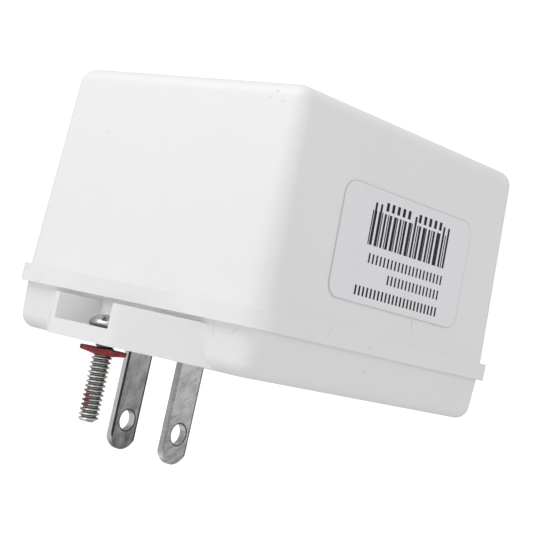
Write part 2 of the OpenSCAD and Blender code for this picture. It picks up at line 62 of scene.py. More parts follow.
skin = bpy.data.node_groups.new("moulded_skin", "ShaderNodeTree")
skin.interface.new_socket(name="Vector", in_out="INPUT", socket_type="NodeSocketVector")
skin.interface.new_socket(name="Tone", in_out="OUTPUT", socket_type="NodeSocketFloat")
skin.interface.new_socket(name="Normal", in_out="OUTPUT", socket_type="NodeSocketVector")
skin_in = skin.nodes.new("NodeGroupInput")
skin_out = skin.nodes.new("NodeGroupOutput")
cloud = skin.nodes.new("ShaderNodeTexNoise")
cloud.inputs["Scale"].default_value = 95
cloud.inputs["Detail"].default_value = 5
cloud.inputs["Roughness"].default_value = 0.6
grain = skin.nodes.new("ShaderNodeTexNoise")
grain.inputs["Scale"].default_value = 2300
grain.inputs["Detail"].default_value = 3
swell = skin.nodes.new("ShaderNodeTexNoise")
swell.inputs["Scale"].default_value = 60
swell.inputs["Detail"].default_value = 1
fine = skin.nodes.new("ShaderNodeBump")
fine.inputs["Strength"].default_value = 0.16
fine.inputs["Distance"].default_value = 0.0001
wide = skin.nodes.new("ShaderNodeBump")
wide.inputs["Strength"].default_value = 0.25
wide.inputs["Distance"].default_value = 0.0004
for texture in (cloud, grain, swell):
    skin.links.new(skin_in.outputs["Vector"], texture.inputs["Vector"])
skin.links.new(cloud.outputs["Fac"], skin_out.inputs["Tone"])
skin.links.new(swell.outputs["Fac"], wide.inputs["Height"])
skin.links.new(grain.outputs["Fac"], fine.inputs["Height"])
skin.links.new(wide.outputs["Normal"], fine.inputs["Normal"])
skin.links.new(fine.outputs["Normal"], skin_out.inputs["Normal"])

mark = bpy.data.node_groups.new("ragged_mark", "ShaderNodeTree")
mark.interface.new_socket(name="Vector", in_out="INPUT", socket_type="NodeSocketVector")
mark.interface.new_socket(name="Mask", in_out="OUTPUT", socket_type="NodeSocketFloat")
mark_in = mark.nodes.new("NodeGroupInput")
mark_out = mark.nodes.new("NodeGroupOutput")
ragged = mark.nodes.new("ShaderNodeTexNoise")
ragged.inputs["Scale"].default_value = 1.7
shift = mark.nodes.new("ShaderNodeVectorMath")
shift.operation = "MULTIPLY_ADD"
shift.inputs[1].default_value = (0.9, 0.9, 0.9)
away = mark.nodes.new("ShaderNodeVectorMath")
away.operation = "LENGTH"
edge = mark.nodes.new("ShaderNodeMapRange")
edge.inputs["From Min"].default_value = 1.45
edge.inputs["From Max"].default_value = 0.95
mark.links.new(mark_in.outputs["Vector"], ragged.inputs["Vector"])
mark.links.new(ragged.outputs["Color"], shift.inputs[0])
mark.links.new(mark_in.outputs["Vector"], shift.inputs[2])
mark.links.new(shift.outputs["Vector"], away.inputs[0])
mark.links.new(away.outputs["Value"], edge.inputs["Value"])
mark.links.new(edge.outputs["Result"], mark_out.inputs["Mask"])

plastic = bpy.data.materials.new("white_abs_base")
plastic.use_nodes = True
tree = plastic.node_tree
surface = tree.nodes["Principled BSDF"]
surface.inputs["Roughness"].default_value = 0.46
surface.inputs["IOR"].default_value = 1.5
place = tree.nodes.new("ShaderNodeTexCoord")
grained = tree.nodes.new("ShaderNodeGroup")
grained.node_tree = skin
tint = tree.nodes.new("ShaderNodeMix")
tint.data_type = "RGBA"
tint.inputs[6].default_value = (0.84, 0.842, 0.845, 1)
tint.inputs[7].default_value = (0.875, 0.876, 0.874, 1)
tree.links.new(place.outputs["Object"], grained.inputs["Vector"])
tree.links.new(grained.outputs["Tone"], tint.inputs[0])
tree.links.new(grained.outputs["Normal"], surface.inputs["Normal"])
colour = tint.outputs[2]
for where, turn, reach, shade in (
    ((-0.0201, -0.0068, 0.0116), (0, 0, 0.3), (0.00005, 0.0008, 0.0009), 0.26),
    ((-0.0200, -0.0056, 0.0116), (0, 0, -0.05), (0.00005, 0.0006, 0.0009), 0.34),
    ((-0.0243, -0.0068, 0.0116), (0, 0, -0.85), (0.00005, 0.0009, 0.0009), 0.3),
    ((-0.0088, -0.0050, 0.0218), (0, 0, 0), (0.00016, 0.00016, 0.0004), 0.45),
    ((-0.0284, -0.0026, -0.0310), (0, 0, 0), (0.0005, 0.0003, 0.0040), 0.16),
    ((-0.0284, -0.0036, -0.0395), (0.2, 0, 0), (0.0005, 0.00012, 0.0022), 0.22),
    ((-0.0284, -0.0050, -0.0200), (0, 0, 0), (0.0005, 0.0002, 0.0002), 0.4),
):
    fit = tree.nodes.new("ShaderNodeMapping")
    fit.vector_type = "TEXTURE"
    fit.inputs["Location"].default_value = where
    fit.inputs["Rotation"].default_value = turn
    fit.inputs["Scale"].default_value = reach
    spot = tree.nodes.new("ShaderNodeGroup")
    spot.node_tree = mark
    weight = tree.nodes.new("ShaderNodeMath")
    weight.operation = "MULTIPLY"
    weight.inputs[1].default_value = shade
    dirt_and_shade = tree.nodes.new("ShaderNodeMix")
    dirt_and_shade.data_type = "RGBA"
    dirt_and_shade.inputs[7].default_value = (0.26, 0.25, 0.25, 1)
    tree.links.new(place.outputs["Object"], fit.inputs["Vector"])
    tree.links.new(fit.outputs["Vector"], spot.inputs["Vector"])
    tree.links.new(spot.outputs["Mask"], weight.inputs[0])
    tree.links.new(weight.outputs["Value"], dirt_and_shade.inputs[0])
    tree.links.new(colour, dirt_and_shade.inputs[6])
    colour = dirt_and_shade.outputs[2]
tree.links.new(colour, surface.inputs["Base Color"])
base.data.materials.clear()
base.data.materials.append(plastic)

# Blades: two flat blades stamped from nickel-plated brass, coined at the
# edges and pressed into slots in the base floor, shoulders against it.
# Handling has left their wide faces brushed, stained and a little dull.
# The right blade is given darker tones than the left
for name, dark, pale, painted_narrow_face_tone, chamfer_shade, lean, marks in (
    ("left_blade", (0.49, 0.485, 0.49, 1), (0.94, 0.935, 0.94, 1), (0.25, 0.245, 0.25, 1), 0.65, 1.0, 1.25),
    ("right_blade", (0.20, 0.195, 0.205, 1), (0.69, 0.685, 0.70, 1), (0.45, 0.445, 0.45, 1), 0.95, 0.1, 0.45),
):
    blade = nodes[name]
    bpy.ops.object.select_all(action="DESELECT")
    blade.select_set(True)
    bpy.context.view_layer.objects.active = blade
    bpy.ops.mesh.customdata_custom_splitnormals_clear()
    bpy.ops.object.shade_smooth()
    weld = blade.modifiers.new("weld", "WELD")
    weld.merge_threshold = 0.000002
    soft = blade.modifiers.new("soft_edges", "BEVEL")
    soft.width = 0.00012
    soft.segments = 2
    soft.limit_method = "ANGLE"
    soft.angle_limit = math.radians(25)
    soft.harden_normals = True
    plate = bpy.data.materials.new("nickel_" + name)
    plate.use_nodes = True
    tree = plate.node_tree
    surface = tree.nodes["Principled BSDF"]
    surface.inputs["Metallic"].default_value = 1
    place = tree.nodes.new("ShaderNodeTexCoord")
    turned = tree.nodes.new("ShaderNodeMapping")
    turned.vector_type = "TEXTURE"
    turned.inputs["Rotation"].default_value = (lean, 0, 0)
    turned.inputs["Scale"].default_value = (1, 7, 1)
    brushed = tree.nodes.new("ShaderNodeTexNoise")
    brushed.inputs["Scale"].default_value = 2600
    brushed.inputs["Detail"].default_value = 4
    brushed.inputs["Roughness"].default_value = 0.7
    stain = tree.nodes.new("ShaderNodeTexNoise")
    stain.inputs["Scale"].default_value = 330
    stain.inputs["Detail"].default_value = 6
    stain.inputs["Roughness"].default_value = 0.65
    axes = tree.nodes.new("ShaderNodeSeparateXYZ")
    facing = tree.nodes.new("ShaderNodeSeparateXYZ")
    # worn is here a plain fade in tone along the blade: lighter at the root, darker towards the tip
    worn = tree.nodes.new("ShaderNodeMapRange")
    worn.inputs["From Max"].default_value = 0.0178
    worn.inputs["To Min"].default_value = 0.17
    worn.inputs["To Max"].default_value = -0.09
    along = tree.nodes.new("ShaderNodeMath")
    along.operation = "ADD"
    blend = tree.nodes.new("ShaderNodeMath")
    blend.operation = "MULTIPLY_ADD"
    blend.inputs[1].default_value = marks
    # Painted shade: the narrow faces, picked out by which way they face, get a tone of their own
    edge_on = tree.nodes.new("ShaderNodeMath")
    edge_on.operation = "ABSOLUTE"
    slim = tree.nodes.new("ShaderNodeMapRange")
    slim.inputs["From Min"].default_value = 0.75
    slim.inputs["From Max"].default_value = 0.95
    slim.inputs["To Max"].default_value = 0.75
    side = tree.nodes.new("ShaderNodeMix")
    side.data_type = "RGBA"
    side.inputs[7].default_value = painted_narrow_face_tone
    # Painted shade: the coined chamfers, where the faces meet at a slant, are painted dark
    corner = tree.nodes.new("ShaderNodeMath")
    corner.operation = "MULTIPLY"
    either = tree.nodes.new("ShaderNodeMath")
    either.operation = "ABSOLUTE"
    bevel = tree.nodes.new("ShaderNodeMapRange")
    bevel.inputs["From Min"].default_value = 0.2
    bevel.inputs["From Max"].default_value = 0.42
    bevel.inputs["To Max"].default_value = chamfer_shade
    from_hole = tree.nodes.new("ShaderNodeVectorMath")
    from_hole.operation = "MULTIPLY_ADD"
    from_hole.inputs[1].default_value = (0, 1, 1)
    from_hole.inputs[2].default_value = (0, -0.0124, 0)
    apart = tree.nodes.new("ShaderNodeVectorMath")
    apart.operation = "LENGTH"
    # Painted shade: a thin dark ring round the rim of the hole
    at_hole = tree.nodes.new("ShaderNodeMath")
    at_hole.operation = "COMPARE"
    at_hole.inputs[1].default_value = 0.00197
    at_hole.inputs[2].default_value = 0.00011
    dirt_and_shade = tree.nodes.new("ShaderNodeMath")
    dirt_and_shade.operation = "MULTIPLY_ADD"
    dirt_and_shade.inputs[1].default_value = 0.85
    # Painted shade: a thin dark line along the far long edge of the wide face
    far_edge = tree.nodes.new("ShaderNodeMath")
    far_edge.operation = "COMPARE"
    far_edge.inputs[1].default_value = -0.00275
    far_edge.inputs[2].default_value = 0.00035
    all_painted_shade = tree.nodes.new("ShaderNodeMath")
    all_painted_shade.operation = "MULTIPLY_ADD"
    all_painted_shade.use_clamp = True
    all_painted_shade.inputs[1].default_value = 0.9 * chamfer_shade
    # Painted shade colour, near black, laid on by the chamfer, hole-rim and edge masks above
    painted_edge_shade = tree.nodes.new("ShaderNodeMix")
    painted_edge_shade.data_type = "RGBA"
    painted_edge_shade.inputs[7].default_value = (0.018, 0.017, 0.02, 1)
    ramp = tree.nodes.new("ShaderNodeMapRange")
    ramp.inputs["From Min"].default_value = 0.27 + marks / 2
    ramp.inputs["From Max"].default_value = 0.75 + marks / 2
    tint = tree.nodes.new("ShaderNodeMix")
    tint.data_type = "RGBA"
    tint.inputs[6].default_value = dark
    tint.inputs[7].default_value = pale
    dull = tree.nodes.new("ShaderNodeMapRange")
    dull.inputs["To Min"].default_value = 0.46
    dull.inputs["To Max"].default_value = 0.27
    lines = tree.nodes.new("ShaderNodeBump")
    lines.inputs["Strength"].default_value = 0.28
    lines.inputs["Distance"].default_value = 0.00006
    tree.links.new(place.outputs["Object"], turned.inputs["Vector"])
    tree.links.new(turned.outputs["Vector"], brushed.inputs["Vector"])
    tree.links.new(place.outputs["Object"], stain.inputs["Vector"])
    tree.links.new(place.outputs["Object"], axes.inputs["Vector"])
    tree.links.new(place.outputs["Normal"], facing.inputs["Vector"])
    tree.links.new(axes.outputs["Y"], worn.inputs["Value"])
    tree.links.new(stain.outputs["Fac"], along.inputs[0])
    tree.links.new(worn.outputs["Result"], along.inputs[1])
    tree.links.new(brushed.outputs["Fac"], blend.inputs[0])
    tree.links.new(along.outputs["Value"], blend.inputs[2])
    tree.links.new(blend.outputs["Value"], ramp.inputs["Value"])
    tree.links.new(ramp.outputs["Result"], tint.inputs[0])
    tree.links.new(facing.outputs["Z"], edge_on.inputs[0])
    tree.links.new(edge_on.outputs["Value"], slim.inputs["Value"])
    tree.links.new(slim.outputs["Result"], side.inputs[0])
    tree.links.new(tint.outputs[2], side.inputs[6])
    tree.links.new(facing.outputs["X"], corner.inputs[0])
    tree.links.new(facing.outputs["Z"], corner.inputs[1])
    tree.links.new(corner.outputs["Value"], either.inputs[0])
    tree.links.new(either.outputs["Value"], bevel.inputs["Value"])
    tree.links.new(place.outputs["Object"], from_hole.inputs[0])
    tree.links.new(from_hole.outputs["Vector"], apart.inputs[0])
    tree.links.new(apart.outputs["Value"], at_hole.inputs[0])
    tree.links.new(at_hole.outputs["Value"], dirt_and_shade.inputs[0])
    tree.links.new(bevel.outputs["Result"], dirt_and_shade.inputs[2])
    tree.links.new(axes.outputs["Z"], far_edge.inputs[0])
    tree.links.new(far_edge.outputs["Value"], all_painted_shade.inputs[0])
    tree.links.new(dirt_and_shade.outputs["Value"], all_painted_shade.inputs[2])
    tree.links.new(all_painted_shade.outputs["Value"], painted_edge_shade.inputs[0])
    tree.links.new(side.outputs[2], painted_edge_shade.inputs[6])
    tree.links.new(painted_edge_shade.outputs[2], surface.inputs["Base Color"])
    tree.links.new(stain.outputs["Fac"], dull.inputs["Value"])
    tree.links.new(dull.outputs["Result"], surface.inputs["Roughness"])
    tree.links.new(brushed.outputs["Fac"], lines.inputs["Height"])
    tree.links.new(lines.outputs["Normal"], surface.inputs["Normal"])
    blade.data.materials.clear()
    blade.data.materials.append(plate)

# Insulating sheet: fish paper laid on the posts of the base under the core,
# so that the soldered blade tails can't reach the iron. Grey-brown and fibrous.
sheet = nodes["insulating_sheet"]
paper = bpy.data.materials.new("fish_paper")
paper.use_nodes = True
tree = paper.node_tree
surface = tree.nodes["Principled BSDF"]
surface.inputs["Roughness"].default_value = 0.8
place = tree.nodes.new("ShaderNodeTexCoord")
fibre = tree.nodes.new("ShaderNodeTexNoise")
fibre.inputs["Scale"].default_value = 900
fibre.inputs["Detail"].default_value = 6
tint = tree.nodes.new("ShaderNodeMix")
tint.data_type = "RGBA"
tint.inputs[6].default_value = (0.28, 0.22, 0.15, 1)
tint.inputs[7].default_value = (0.42, 0.35, 0.25, 1)
rough = tree.nodes.new("ShaderNodeBump")
rough.inputs["Strength"].default_value = 0.3
rough.inputs["Distance"].default_value = 0.0001
tree.links.new(place.outputs["Object"], fibre.inputs["Vector"])
tree.links.new(fibre.outputs["Fac"], tint.inputs[0])
tree.links.new(tint.outputs[2], surface.inputs["Base Color"])
tree.links.new(fibre.outputs["Fac"], rough.inputs["Height"])
tree.links.new(rough.outputs["Normal"], surface.inputs["Normal"])
sheet.data.materials.clear()
sheet.data.materials.append(paper)

# Core: E and I laminations of silicon steel, half a millimetre thick, stacked
# from the outlet side to the front and varnished. The sheet edges show as lines.
iron = bpy.data.materials.new("varnished_core")
iron.use_nodes = True
tree = iron.node_tree
surface = tree.nodes["Principled BSDF"]
surface.inputs["Metallic"].default_value = 0.75
surface.inputs["Roughness"].default_value = 0.5
place = tree.nodes.new("ShaderNodeTexCoord")
stack = tree.nodes.new("ShaderNodeTexWave")
stack.bands_direction = "Y"
stack.inputs["Scale"].default_value = 314
stack.inputs["Distortion"].default_value = 0.4
stack.inputs["Detail"].default_value = 1
rust = tree.nodes.new("ShaderNodeTexNoise")
rust.inputs["Scale"].default_value = 260
rust.inputs["Detail"].default_value = 7
tint = tree.nodes.new("ShaderNodeMix")
tint.data_type = "RGBA"
tint.inputs[6].default_value = (0.12, 0.125, 0.135, 1)
tint.inputs[7].default_value = (0.26, 0.25, 0.24, 1)
ridge = tree.nodes.new("ShaderNodeBump")
ridge.inputs["Strength"].default_value = 0.5
ridge.inputs["Distance"].default_value = 0.0001
tree.links.new(place.outputs["Object"], stack.inputs["Vector"])
tree.links.new(place.outputs["Object"], rust.inputs["Vector"])
tree.links.new(rust.outputs["Fac"], tint.inputs[0])
tree.links.new(tint.outputs[2], surface.inputs["Base Color"])
tree.links.new(stack.outputs["Fac"], ridge.inputs["Height"])
tree.links.new(ridge.outputs["Normal"], surface.inputs["Normal"])
for name in ("e_laminations", "i_laminations"):
    nodes[name].data.materials.clear()
    nodes[name].data.materials.append(iron)

# Bobbin: moulded nylon former with two chambers, slid over the centre leg.
# Natural nylon, slightly cloudy, with a soft sheen.
former = nodes["bobbin"]
nylon = bpy.data.materials.new("natural_nylon")
nylon.use_nodes = True
tree = nylon.node_tree
surface = tree.nodes["Principled BSDF"]
surface.inputs["Roughness"].default_value = 0.4
surface.inputs["Subsurface Weight"].default_value = 0.2
surface.inputs["Subsurface Scale"].default_value = 0.001
place = tree.nodes.new("ShaderNodeTexCoord")
cloud = tree.nodes.new("ShaderNodeTexNoise")
cloud.inputs["Scale"].default_value = 210
cloud.inputs["Detail"].default_value = 4
tint = tree.nodes.new("ShaderNodeMix")
tint.data_type = "RGBA"
tint.inputs[6].default_value = (0.70, 0.68, 0.60, 1)
tint.inputs[7].default_value = (0.80, 0.78, 0.70, 1)
tree.links.new(place.outputs["Object"], cloud.inputs["Vector"])
tree.links.new(cloud.outputs["Fac"], tint.inputs[0])
tree.links.new(tint.outputs[2], surface.inputs["Base Color"])
former.data.materials.clear()
former.data.materials.append(nylon)

# Windings: enamelled copper wire round the bobbin, fine wire in the primary
# chamber and thick wire in the secondary one. The turns run round the X axis.
for name, turns in (("primary_winding", 2600), ("secondary_winding", 700)):
    coil = nodes[name]
    copper = bpy.data.materials.new("enamelled_" + name)
    copper.use_nodes = True
    tree = copper.node_tree
    surface = tree.nodes["Principled BSDF"]
    surface.inputs["Metallic"].default_value = 0.9
    surface.inputs["Roughness"].default_value = 0.3
    surface.inputs["Coat Weight"].default_value = 0.5
    place = tree.nodes.new("ShaderNodeTexCoord")
    wire = tree.nodes.new("ShaderNodeTexWave")
    wire.bands_direction = "X"
    wire.inputs["Scale"].default_value = turns / 2
    wire.inputs["Distortion"].default_value = 0.8
    wire.inputs["Detail"].default_value = 2
    tint = tree.nodes.new("ShaderNodeMix")
    tint.data_type = "RGBA"
    tint.inputs[6].default_value = (0.20, 0.045, 0.015, 1)
    tint.inputs[7].default_value = (0.62, 0.22, 0.07, 1)
    round_wire = tree.nodes.new("ShaderNodeBump")
    round_wire.inputs["Strength"].default_value = 0.7
    round_wire.inputs["Distance"].default_value = 0.0002
    tree.links.new(place.outputs["Object"], wire.inputs["Vector"])
    tree.links.new(wire.outputs["Fac"], tint.inputs[0])
    tree.links.new(tint.outputs[2], surface.inputs["Base Color"])
    tree.links.new(wire.outputs["Fac"], round_wire.inputs["Height"])
    tree.links.new(round_wire.outputs["Normal"], surface.inputs["Normal"])
    coil.data.materials.clear()
    coil.data.materials.append(copper)

# Tapes: yellow polyester film, one wrap over each winding, a little creased.
film = bpy.data.materials.new("yellow_tape")
film.use_nodes = True
tree = film.node_tree
surface = tree.nodes["Principled BSDF"]
surface.inputs["Roughness"].default_value = 0.28
place = tree.nodes.new("ShaderNodeTexCoord")
crease = tree.nodes.new("ShaderNodeTexNoise")
crease.inputs["Scale"].default_value = 160
crease.inputs["Detail"].default_value = 5
crease.inputs["Distortion"].default_value = 1.5
tint = tree.nodes.new("ShaderNodeMix")
tint.data_type = "RGBA"
tint.inputs[6].default_value = (0.75, 0.48, 0.03, 1)
tint.inputs[7].default_value = (0.88, 0.62, 0.07, 1)
fold = tree.nodes.new("ShaderNodeBump")
fold.inputs["Strength"].default_value = 0.5
fold.inputs["Distance"].default_value = 0.0003
tree.links.new(place.outputs["Object"], crease.inputs["Vector"])
tree.links.new(crease.outputs["Fac"], tint.inputs[0])
tree.links.new(tint.outputs[2], surface.inputs["Base Color"])
tree.links.new(crease.outputs["Fac"], fold.inputs["Height"])
tree.links.new(fold.outputs["Normal"], surface.inputs["Normal"])
for name in ("primary_tape", "secondary_tape"):
    nodes[name].data.materials.clear()
    nodes[name].data.materials.append(film)

# Thermal cut-out: a small plated can tied into the primary, on the taped coil.
can = nodes["thermal_cutout"]
tin = bpy.data.materials.new("plated_can")
tin.use_nodes = True
tree = tin.node_tree
surface = tree.nodes["Principled BSDF"]
surface.inputs["Metallic"].default_value = 1
place = tree.nodes.new("ShaderNodeTexCoord")
worn = tree.nodes.new("ShaderNodeTexNoise")
worn.inputs["Scale"].default_value = 1100
worn.inputs["Detail"].default_value = 5
tint = tree.nodes.new("ShaderNodeMix")
tint.data_type = "RGBA"
tint.inputs[6].default_value = (0.42, 0.42, 0.41, 1)
tint.inputs[7].default_value = (0.66, 0.65, 0.62, 1)
dull = tree.nodes.new("ShaderNodeMapRange")
dull.inputs["To Min"].default_value = 0.2
dull.inputs["To Max"].default_value = 0.45
tree.links.new(place.outputs["Object"], worn.inputs["Vector"])
tree.links.new(worn.outputs["Fac"], tint.inputs[0])
tree.links.new(tint.outputs[2], surface.inputs["Base Color"])
tree.links.new(worn.outputs["Fac"], dull.inputs["Value"])
tree.links.new(dull.outputs["Result"], surface.inputs["Roughness"])
can.data.materials.clear()
can.data.materials.append(tin)

# Leads: stranded wire in PVC, black from the primary to the blade tails and
# orange from the secondary to the tails of the terminal plates, soldered there.
for names, deep, light in (
    (("left_primary_lead", "right_primary_lead"), (0.012, 0.012, 0.013, 1), (0.03, 0.03, 0.03, 1)),
    (("left_secondary_lead", "right_secondary_lead"), (0.62, 0.16, 0.01, 1), (0.78, 0.25, 0.03, 1)),
):
    sleeve = bpy.data.materials.new("pvc_" + names[0])
    sleeve.use_nodes = True
    tree = sleeve.node_tree
    surface = tree.nodes["Principled BSDF"]
    surface.inputs["Roughness"].default_value = 0.38
    place = tree.nodes.new("ShaderNodeTexCoord")
    cloud = tree.nodes.new("ShaderNodeTexNoise")
    cloud.inputs["Scale"].default_value = 700
    cloud.inputs["Detail"].default_value = 4
    tint = tree.nodes.new("ShaderNodeMix")
    tint.data_type = "RGBA"
    tint.inputs[6].default_value = deep
    tint.inputs[7].default_value = light
    uneven = tree.nodes.new("ShaderNodeBump")
    uneven.inputs["Strength"].default_value = 0.2
    uneven.inputs["Distance"].default_value = 0.0001
    tree.links.new(place.outputs["Object"], cloud.inputs["Vector"])
    tree.links.new(cloud.outputs["Fac"], tint.inputs[0])
    tree.links.new(tint.outputs[2], surface.inputs["Base Color"])
    tree.links.new(cloud.outputs["Fac"], uneven.inputs["Height"])
    tree.links.new(uneven.outputs["Normal"], surface.inputs["Normal"])
    for name in names:
        nodes[name].data.materials.clear()
        nodes[name].data.materials.append(sleeve)

# Cover: the deep moulded shell with the rim band, glued over the base. Same
# white ABS and grain as the base, with the specks and the hair that handling
# left on it, and the terminal recess in its front edge at the bottom end.
cover = nodes["cover"]
bpy.ops.object.select_all(action="DESELECT")
cover.select_set(True)
bpy.context.view_layer.objects.active = cover
bpy.ops.mesh.customdata_custom_splitnormals_clear()
bpy.ops.object.shade_smooth()
weld = cover.modifiers.new("weld", "WELD")
weld.merge_threshold = 0.000002
soft = cover.modifiers.new("soft_edges", "BEVEL")
soft.width = 0.00035
soft.segments = 3
soft.limit_method = "ANGLE"
soft.angle_limit = math.radians(35)
soft.harden_normals = True
plastic = bpy.data.materials.new("white_abs_cover")
plastic.use_nodes = True
tree = plastic.node_tree
surface = tree.nodes["Principled BSDF"]
surface.inputs["Roughness"].default_value = 0.46
surface.inputs["IOR"].default_value = 1.5
place = tree.nodes.new("ShaderNodeTexCoord")
grained = tree.nodes.new("ShaderNodeGroup")
grained.node_tree = skin
tint = tree.nodes.new("ShaderNodeMix")
tint.data_type = "RGBA"
tint.inputs[6].default_value = (0.845, 0.846, 0.85, 1)
tint.inputs[7].default_value = (0.88, 0.881, 0.88, 1)
tree.links.new(place.outputs["Object"], grained.inputs["Vector"])
tree.links.new(grained.outputs["Tone"], tint.inputs[0])
tree.links.new(grained.outputs["Normal"], surface.inputs["Normal"])
colour = tint.outputs[2]
for where, turn, reach, shade in (
    ((-0.0215, -0.0467, 0.0106), (0, 0, 0), (0.00017, 0.00015, 0.0006), 0.42),
    ((-0.0203, -0.0456, 0.0107), (0, 0, 0), (0.00030, 0.00016, 0.0006), 0.14),
    ((-0.0231, -0.0450, 0.0107), (0, 0, 0), (0.00030, 0.00022, 0.0006), 0.12),
    ((0.0154, -0.0369, 0.0110), (0, 0, 0), (0.00012, 0.00012, 0.0006), 0.4),
    ((-0.0052, -0.0121, 0.0119), (0, 0, 0), (0.00012, 0.00008, 0.0006), 0.3),
    ((-0.0068, -0.0123, 0.0119), (0, 0, 0), (0.00011, 0.00009, 0.0006), 0.3),
    ((-0.0284, -0.0157, -0.0310), (0.25, 0, 0), (0.0006, 0.0010, 0.00006), 0.42),
    ((-0.0285, -0.0143, -0.0312), (-0.1, 0, 0), (0.0006, 0.0010, 0.00006), 0.42),
    ((-0.0285, -0.0131, -0.0400), (0, 0, 0), (0.0006, 0.00010, 0.00016), 0.45),
    ((-0.0297, -0.0093, -0.0180), (0, 0, 0), (0.0006, 0.00012, 0.0003), 0.25),
    ((-0.0297, -0.0089, -0.0370), (0, 0, 0), (0.0006, 0.00010, 0.00014), 0.4),
    ((-0.0297, -0.0091, -0.0400), (0, 0, 0), (0.0006, 0.00010, 0.00014), 0.4),
    ((-0.0297, -0.0100, -0.0060), (0.5, 0, 0), (0.0006, 0.0009, 0.00007), 0.2),
    ((0.0222, -0.0080, 0.0131), (0, 0, 0.9), (0.0009, 0.00008, 0.0006), 0.2),
):
    fit = tree.nodes.new("ShaderNodeMapping")
    fit.vector_type = "TEXTURE"
    fit.inputs["Location"].default_value = where
    fit.inputs["Rotation"].default_value = turn
    fit.inputs["Scale"].default_value = reach
    spot = tree.nodes.new("ShaderNodeGroup")
    spot.node_tree = mark
    weight = tree.nodes.new("ShaderNodeMath")
    weight.operation = "MULTIPLY"
    weight.inputs[1].default_value = shade
    dirt_and_shade = tree.nodes.new("ShaderNodeMix")
    dirt_and_shade.data_type = "RGBA"
    dirt_and_shade.inputs[7].default_value = (0.26, 0.25, 0.25, 1)
    tree.links.new(place.outputs["Object"], fit.inputs["Vector"])
    tree.links.new(fit.outputs["Vector"], spot.inputs["Vector"])
    tree.links.new(spot.outputs["Mask"], weight.inputs[0])
    tree.links.new(weight.outputs["Value"], dirt_and_shade.inputs[0])
    tree.links.new(colour, dirt_and_shade.inputs[6])
    colour = dirt_and_shade.outputs[2]
tree.links.new(colour, surface.inputs["Base Color"])
cover.data.materials.clear()
cover.data.materials.append(plastic)

# Terminal plates and clamp washers: tinned brass plates on posts in the
# recess, their tails through the wall to the leads, and square steel washers
# that press the bared wire on them.
for names, deep, light in (
    (("left_terminal_plate", "right_terminal_plate"), (0.52, 0.50, 0.44, 1), (0.70, 0.68, 0.62, 1)),
    (("left_terminal_washer", "right_terminal_washer"), (0.42, 0.42, 0.43, 1), (0.62, 0.62, 0.63, 1)),
):
    metal = bpy.data.materials.new("plated_" + names[0])
    metal.use_nodes = True
    tree = metal.node_tree
    surface = tree.nodes["Principled BSDF"]
    surface.inputs["Metallic"].default_value = 1
    place = tree.nodes.new("ShaderNodeTexCoord")
    worn = tree.nodes.new("ShaderNodeTexNoise")
    worn.inputs["Scale"].default_value = 900
    worn.inputs["Detail"].default_value = 6
    tint = tree.nodes.new("ShaderNodeMix")
    tint.data_type = "RGBA"
    tint.inputs[6].default_value = deep
    tint.inputs[7].default_value = light
    dull = tree.nodes.new("ShaderNodeMapRange")
    dull.inputs["To Min"].default_value = 0.22
    dull.inputs["To Max"].default_value = 0.5
    dents = tree.nodes.new("ShaderNodeBump")
    dents.inputs["Strength"].default_value = 0.2
    dents.inputs["Distance"].default_value = 0.0001
    tree.links.new(place.outputs["Object"], worn.inputs["Vector"])
    tree.links.new(worn.outputs["Fac"], tint.inputs[0])
    tree.links.new(tint.outputs[2], surface.inputs["Base Color"])
    tree.links.new(worn.outputs["Fac"], dull.inputs["Value"])
    tree.links.new(dull.outputs["Result"], surface.inputs["Roughness"])
    tree.links.new(worn.outputs["Fac"], dents.inputs["Height"])
    tree.links.new(dents.outputs["Normal"], surface.inputs["Normal"])
    for name in names:
        piece = nodes[name]
        bpy.ops.object.select_all(action="DESELECT")
        piece.select_set(True)
        bpy.context.view_layer.objects.active = piece
        bpy.ops.mesh.customdata_custom_splitnormals_clear()
        bpy.ops.object.shade_smooth()
        weld = piece.modifiers.new("weld", "WELD")
        weld.merge_threshold = 0.000002
        soft = piece.modifiers.new("soft_edges", "BEVEL")
        soft.width = 0.00012
        soft.segments = 2
        soft.limit_method = "ANGLE"
        soft.angle_limit = math.radians(35)
        soft.harden_normals = True
        piece.data.materials.clear()
        piece.data.materials.append(metal)

# Terminal screws: zinc-plated pan heads with a driver slot, screwed down into
# the posts by hand and left at any angle.
zinc = bpy.data.materials.new("zinc_terminal_screw")
zinc.use_nodes = True
tree = zinc.node_tree
surface = tree.nodes["Principled BSDF"]
surface.inputs["Metallic"].default_value = 1
place = tree.nodes.new("ShaderNodeTexCoord")
worn = tree.nodes.new("ShaderNodeTexNoise")
worn.inputs["Scale"].default_value = 1300
worn.inputs["Detail"].default_value = 5
tint = tree.nodes.new("ShaderNodeMix")
tint.data_type = "RGBA"
tint.inputs[6].default_value = (0.45, 0.455, 0.47, 1)
tint.inputs[7].default_value = (0.70, 0.705, 0.71, 1)
dull = tree.nodes.new("ShaderNodeMapRange")
dull.inputs["To Min"].default_value = 0.18
dull.inputs["To Max"].default_value = 0.4
tree.links.new(place.outputs["Object"], worn.inputs["Vector"])
tree.links.new(worn.outputs["Fac"], tint.inputs[0])
tree.links.new(tint.outputs[2], surface.inputs["Base Color"])
tree.links.new(worn.outputs["Fac"], dull.inputs["Value"])
tree.links.new(dull.outputs["Result"], surface.inputs["Roughness"])
for name in ("left_terminal_screw", "right_terminal_screw"):
    screw = nodes[name]
    bpy.ops.object.select_all(action="DESELECT")
    screw.select_set(True)
    bpy.context.view_layer.objects.active = screw
    bpy.ops.mesh.customdata_custom_splitnormals_clear()
    bpy.ops.object.shade_smooth()
    weld = screw.modifiers.new("weld", "WELD")
    weld.merge_threshold = 0.000002
    soft = screw.modifiers.new("soft_edges", "BEVEL")
    soft.width = 0.0001
    soft.segments = 2
    soft.limit_method = "ANGLE"
    soft.angle_limit = math.radians(35)
    soft.harden_normals = True
    screw.data.materials.clear()
    screw.data.materials.append(zinc)

